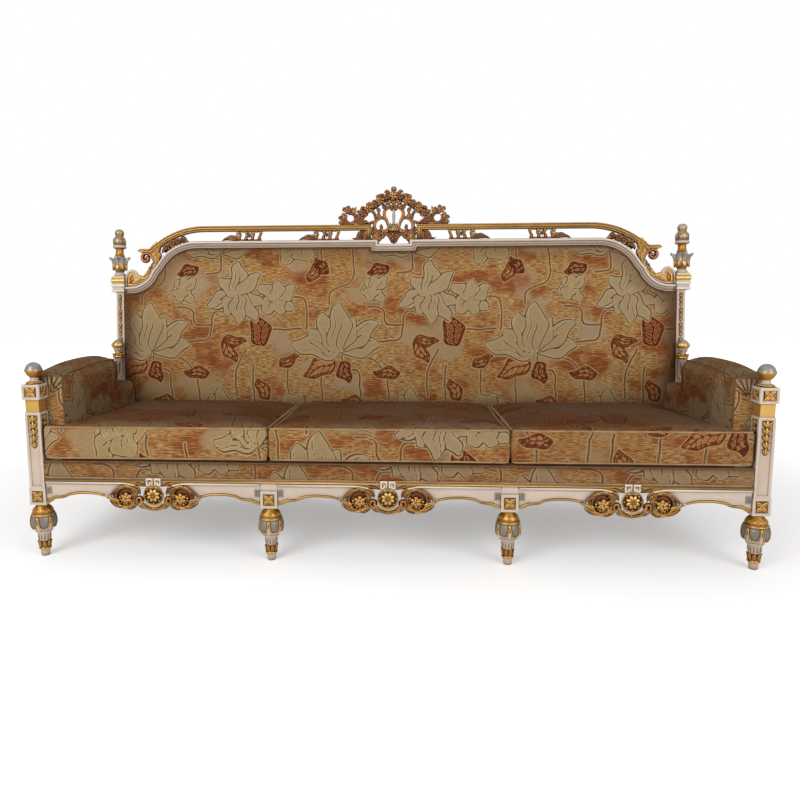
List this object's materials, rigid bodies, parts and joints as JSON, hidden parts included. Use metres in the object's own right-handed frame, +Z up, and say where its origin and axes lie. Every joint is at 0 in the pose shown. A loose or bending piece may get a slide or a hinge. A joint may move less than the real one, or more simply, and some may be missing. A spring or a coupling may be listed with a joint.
{
  "type": "upholstered salon sofa",
  "caption": "Carved, painted and gilded salon sofa with loose seat cushions, padded arms and an upholstered back under a pierced gallery rail and crest.",
  "frame": {"origin": "on the floor, under the middle of the sofa's bounding box", "axes": "+X along the seat, to the viewer's right as seen from the front; +Y from front to back; +Z up"},
  "size_m": [2.5028, 0.823, 1.3549],
  "materials": {
    "cream_paint": "carved wood, warm cream paint, satin, lightly aged",
    "gilt": "carved wood, burnished gold leaf",
    "bronzed_gilt": "carved wood, darker copper-toned gilding",
    "jacquard": "woven floral furnishing fabric, ochre and sage, with piping",
    "liner_cloth": "plain woven cloth",
    "foam": "feather-wrapped filling, out of sight",
    "webbing": "woven jute straps",
    "bare_timber": "unfinished hardwood"
  },
  "bodies": {
    "frame": {"front_leg_left": "cream_paint", "front_leg_inner_left": "cream_paint", "front_leg_inner_right": "cream_paint", "front_leg_right": "cream_paint", "rear_leg_left": "cream_paint", "rear_leg_inner_left": "cream_paint", "rear_leg_inner_right": "cream_paint", "rear_leg_right": "cream_paint", "front_post_left": "cream_paint", "front_post_right": "cream_paint", "inner_block_left": "cream_paint", "inner_block_right": "cream_paint", "apron_left": "cream_paint", "apron_centre": "cream_paint", "apron_right": "cream_paint", "seat_rail_rear": "cream_paint", "seat_rail_left": "cream_paint", "seat_rail_right": "cream_paint", "rear_post_left": "cream_paint", "rear_post_right": "cream_paint", "back_moulding": "cream_paint", "ball_finial_left": "gilt", "ball_finial_right": "gilt", "apron_bead": "gilt", "flame_finial_left": "gilt", "flame_finial_right": "gilt", "arm_console_left": "gilt", "arm_console_right": "gilt", "gallery_rail_left": "gilt", "gallery_rail_right": "gilt", "shoulder_scroll_left": "gilt", "shoulder_scroll_right": "gilt", "rose_carving_left": "bronzed_gilt", "rose_carving_centre": "bronzed_gilt", "rose_carving_right": "bronzed_gilt", "shoulder_leaf_left": "bronzed_gilt", "shoulder_leaf_right": "bronzed_gilt", "gallery_support_left_outer": "bronzed_gilt", "gallery_support_left_inner": "bronzed_gilt", "gallery_support_right_outer": "bronzed_gilt", "gallery_support_right_inner": "bronzed_gilt", "crest": "bronzed_gilt", "seat_front_band": "jacquard", "arm_pad_left": "jacquard", "arm_pad_right": "jacquard", "back_pad": "jacquard", "seat_deck": "liner_cloth", "back_liner": "liner_cloth", "seat_webbing": "webbing", "seat_rail_front": "bare_timber", "cross_rail": "bare_timber", "arm_board_left": "bare_timber", "arm_board_right": "bare_timber", "back_rail": "bare_timber"},
    "cushion_left": {"seat_cover_left": "jacquard", "seat_core_left": "foam"},
    "cushion_centre": {"seat_cover_centre": "jacquard", "seat_core_centre": "foam"},
    "cushion_right": {"seat_cover_right": "jacquard", "seat_core_right": "foam"}
  },
  "joints": [
    {"name": "cushion_left_lift", "type": "slide", "parent": "frame", "child": "cushion_left", "axis": [0, 0, 1], "range_m": [0, 0.4]},
    {"name": "cushion_centre_lift", "type": "slide", "parent": "frame", "child": "cushion_centre", "axis": [0, 0, 1], "range_m": [0, 0.4]},
    {"name": "cushion_right_lift", "type": "slide", "parent": "frame", "child": "cushion_right", "axis": [0, 0, 1], "range_m": [0, 0.4]}
  ]
}
